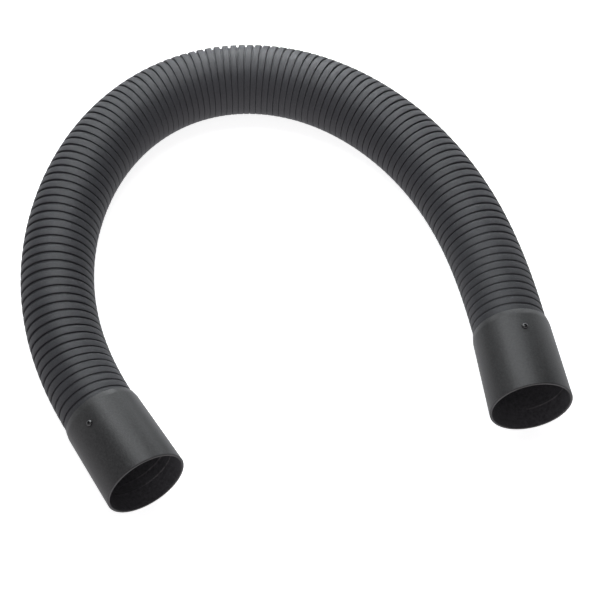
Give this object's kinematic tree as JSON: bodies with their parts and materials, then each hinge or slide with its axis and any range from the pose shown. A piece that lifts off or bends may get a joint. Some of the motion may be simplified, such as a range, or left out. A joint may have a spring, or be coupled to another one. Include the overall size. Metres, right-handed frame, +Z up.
{
  "type": "fume extraction arm",
  "caption": "Self-supporting flexible extraction arm: a ribbed stay-put hose bent into an inverted U, with a tapered push-on cuff riveted to each end.",
  "frame": {"origin": "middle of the footprint, on the surface that the arm lies on", "axes": "+Z up, -Y toward the two open mouths, +X from the base end to the tip end"},
  "size_m": [0.4426, 0.4456, 0.067],
  "materials": {
    "hose": "satin charcoal",
    "cuff": "satin charcoal",
    "rivet": "gloss black",
    "mandrel": "black oxide"
  },
  "bodies": {
    "base_end": {"base_cuff": "cuff", "hose_link_00": "hose", "base_rivet": "rivet", "base_mandrel": "mandrel"},
    "link_01": {"hose_link_01": "hose"},
    "link_02": {"hose_link_02": "hose"},
    "link_03": {"hose_link_03": "hose"},
    "link_04": {"hose_link_04": "hose"},
    "link_05": {"hose_link_05": "hose"},
    "link_06": {"hose_link_06": "hose"},
    "link_07": {"hose_link_07": "hose"},
    "link_08": {"hose_link_08": "hose"},
    "link_09": {"hose_link_09": "hose"},
    "link_10": {"hose_link_10": "hose"},
    "link_11": {"hose_link_11": "hose"},
    "link_12": {"hose_link_12": "hose"},
    "link_13": {"hose_link_13": "hose"},
    "link_14": {"hose_link_14": "hose"},
    "link_15": {"hose_link_15": "hose"},
    "link_16": {"hose_link_16": "hose"},
    "link_17": {"hose_link_17": "hose"},
    "link_18": {"hose_link_18": "hose"},
    "link_19": {"hose_link_19": "hose"},
    "link_20": {"hose_link_20": "hose"},
    "link_21": {"hose_link_21": "hose"},
    "link_22": {"hose_link_22": "hose"},
    "link_23": {"hose_link_23": "hose"},
    "link_24": {"hose_link_24": "hose"},
    "link_25": {"hose_link_25": "hose"},
    "link_26": {"hose_link_26": "hose"},
    "link_27": {"hose_link_27": "hose"},
    "link_28": {"hose_link_28": "hose"},
    "link_29": {"hose_link_29": "hose"},
    "tip_end": {"tip_cuff": "cuff", "hose_link_30": "hose", "tip_rivet": "rivet", "tip_mandrel": "mandrel"}
  },
  "joints": [
    {"name": "bend_base_2", "type": "hinge", "parent": "base_end", "child": "link_01", "pos_m": [-0.15423, -0.13492, 0.03141], "axis": [0, 0, -1], "range_deg": [-18, 6]},
    {"name": "bend_base_3", "type": "hinge", "parent": "link_01", "child": "link_02", "pos_m": [-0.16642, -0.1113, 0.03035], "axis": [0, 0, -1], "range_deg": [-18, 6]},
    {"name": "bend_base_4", "type": "hinge", "parent": "link_02", "child": "link_03", "pos_m": [-0.17659, -0.08673, 0.03], "axis": [0, 0, -1], "range_deg": [-18, 6]},
    {"name": "bend_base_5", "type": "hinge", "parent": "link_03", "child": "link_04", "pos_m": [-0.18437, -0.06129, 0.03], "axis": [0, 0, -1], "range_deg": [-18, 6]},
    {"name": "bend_base", "type": "hinge", "parent": "link_04", "child": "link_05", "pos_m": [-0.18949, -0.03519, 0.03], "axis": [0, 0, -1], "range_deg": [-18, 6]},
    {"name": "bend_base_6", "type": "hinge", "parent": "link_05", "child": "link_06", "pos_m": [-0.19181, -0.00869, 0.03], "axis": [0, 0, -1], "range_deg": [-18, 6]},
    {"name": "bend_base_7", "type": "hinge", "parent": "link_06", "child": "link_07", "pos_m": [-0.1913, 0.01791, 0.03], "axis": [0, 0, -1], "range_deg": [-18, 6]},
    {"name": "bend_base_8", "type": "hinge", "parent": "link_07", "child": "link_08", "pos_m": [-0.18801, 0.0443, 0.03], "axis": [0, 0, -1], "range_deg": [-18, 6]},
    {"name": "bend_base_9", "type": "hinge", "parent": "link_08", "child": "link_09", "pos_m": [-0.18194, 0.0702, 0.03], "axis": [0, 0, -1], "range_deg": [-18, 6]},
    {"name": "bend_mid_2", "type": "hinge", "parent": "link_09", "child": "link_10", "pos_m": [-0.17302, 0.09526, 0.03], "axis": [0, 0, -1], "range_deg": [-12.35, 1.24]},
    {"name": "bend_mid_3", "type": "hinge", "parent": "link_10", "child": "link_11", "pos_m": [-0.16106, 0.11902, 0.03], "axis": [0, 0, -1], "range_deg": [-14.09, 1.41]},
    {"name": "bend_mid_4", "type": "hinge", "parent": "link_11", "child": "link_12", "pos_m": [-0.14588, 0.14087, 0.03], "axis": [0, 0, -1], "range_deg": [-16, 1.6]},
    {"name": "bend_mid_5", "type": "hinge", "parent": "link_12", "child": "link_13", "pos_m": [-0.1274, 0.16, 0.03], "axis": [0, 0, -1], "range_deg": [-17.91, 1.79]},
    {"name": "bend_mid_6", "type": "hinge", "parent": "link_13", "child": "link_14", "pos_m": [-0.1058, 0.17552, 0.03], "axis": [0, 0, -1], "range_deg": [-19.3, 1.93]},
    {"name": "bend_mid", "type": "hinge", "parent": "link_14", "child": "link_15", "pos_m": [-0.08162, 0.1866, 0.03], "axis": [0, 0, -1], "range_deg": [-20, 2]},
    {"name": "bend_mid_7", "type": "hinge", "parent": "link_15", "child": "link_16", "pos_m": [-0.05571, 0.19262, 0.03], "axis": [0, 0, -1], "range_deg": [-19.83, 1.98]},
    {"name": "bend_mid_8", "type": "hinge", "parent": "link_16", "child": "link_17", "pos_m": [-0.02912, 0.19341, 0.03], "axis": [0, 0, -1], "range_deg": [-18.78, 1.88]},
    {"name": "lift_mid", "type": "hinge", "parent": "link_17", "child": "link_18", "pos_m": [-0.00286, 0.18921, 0.03], "axis": [-0.2428, -0.9701, 0], "range_deg": [0, 12]},
    {"name": "bend_mid_9", "type": "hinge", "parent": "link_18", "child": "link_19", "pos_m": [0.02229, 0.18055, 0.03], "axis": [0, 0, -1], "range_deg": [-15.3, 1.53]},
    {"name": "bend_mid_10", "type": "hinge", "parent": "link_19", "child": "link_20", "pos_m": [0.04582, 0.16814, 0.03], "axis": [0, 0, -1], "range_deg": [-13.39, 1.34]},
    {"name": "lift_mid_2", "type": "hinge", "parent": "link_20", "child": "link_21", "pos_m": [0.06748, 0.15269, 0.03], "axis": [-0.628, -0.7782, 0], "range_deg": [0, 12]},
    {"name": "bend_tip_2", "type": "hinge", "parent": "link_21", "child": "link_22", "pos_m": [0.08715, 0.13479, 0.03], "axis": [0, 0, 1], "range_deg": [-6, 15]},
    {"name": "bend_tip_3", "type": "hinge", "parent": "link_22", "child": "link_23", "pos_m": [0.10478, 0.11487, 0.03], "axis": [0, 0, 1], "range_deg": [-6, 15]},
    {"name": "lift_tip", "type": "hinge", "parent": "link_23", "child": "link_24", "pos_m": [0.12034, 0.0933, 0.03], "axis": [-0.8377, -0.5461, 0], "range_deg": [0, 12]},
    {"name": "bend_tip_4", "type": "hinge", "parent": "link_24", "child": "link_25", "pos_m": [0.1338, 0.07035, 0.03], "axis": [0, 0, 1], "range_deg": [-6, 15]},
    {"name": "bend_tip", "type": "hinge", "parent": "link_25", "child": "link_26", "pos_m": [0.14521, 0.04632, 0.03], "axis": [0, 0, 1], "range_deg": [-6, 15]},
    {"name": "lift_tip_2", "type": "hinge", "parent": "link_26", "child": "link_27", "pos_m": [0.1547, 0.02147, 0.03], "axis": [-0.9455, -0.3256, 0], "range_deg": [0, 12]},
    {"name": "bend_tip_5", "type": "hinge", "parent": "link_27", "child": "link_28", "pos_m": [0.16252, -0.00395, 0.03], "axis": [0, 0, 1], "range_deg": [-6, 15]},
    {"name": "bend_tip_6", "type": "hinge", "parent": "link_28", "child": "link_29", "pos_m": [0.16895, -0.02976, 0.03035], "axis": [0, 0, 1], "range_deg": [-6, 15]},
    {"name": "lift_tip_3", "type": "hinge", "parent": "link_29", "child": "tip_end", "pos_m": [0.1743, -0.05579, 0.03141], "axis": [-0.9825, -0.1865, 0], "range_deg": [0, 12]}
  ],
  "couplings": [
    {"joint": "bend_base_2", "follows": "bend_base", "ratio": 1},
    {"joint": "bend_base_3", "follows": "bend_base", "ratio": 1},
    {"joint": "bend_base_4", "follows": "bend_base", "ratio": 1},
    {"joint": "bend_base_5", "follows": "bend_base", "ratio": 1},
    {"joint": "bend_base_6", "follows": "bend_base", "ratio": 1},
    {"joint": "bend_base_7", "follows": "bend_base", "ratio": 1},
    {"joint": "bend_base_8", "follows": "bend_base", "ratio": 1},
    {"joint": "bend_base_9", "follows": "bend_base", "ratio": 1},
    {"joint": "bend_mid_2", "follows": "bend_mid", "ratio": 0.6174},
    {"joint": "bend_mid_3", "follows": "bend_mid", "ratio": 0.7043},
    {"joint": "bend_mid_4", "follows": "bend_mid", "ratio": 0.8},
    {"joint": "bend_mid_5", "follows": "bend_mid", "ratio": 0.8957},
    {"joint": "bend_mid_6", "follows": "bend_mid", "ratio": 0.9652},
    {"joint": "bend_mid_7", "follows": "bend_mid", "ratio": 0.9913},
    {"joint": "bend_mid_8", "follows": "bend_mid", "ratio": 0.9391},
    {"joint": "bend_mid_9", "follows": "bend_mid", "ratio": 0.7652},
    {"joint": "bend_mid_10", "follows": "bend_mid", "ratio": 0.6696},
    {"joint": "lift_mid_2", "follows": "lift_mid", "ratio": 1},
    {"joint": "bend_tip_2", "follows": "bend_tip", "ratio": 1},
    {"joint": "bend_tip_3", "follows": "bend_tip", "ratio": 1},
    {"joint": "bend_tip_4", "follows": "bend_tip", "ratio": 1},
    {"joint": "lift_tip_2", "follows": "lift_tip", "ratio": 1},
    {"joint": "bend_tip_5", "follows": "bend_tip", "ratio": 1},
    {"joint": "bend_tip_6", "follows": "bend_tip", "ratio": 1},
    {"joint": "lift_tip_3", "follows": "lift_tip", "ratio": 1}
  ]
}
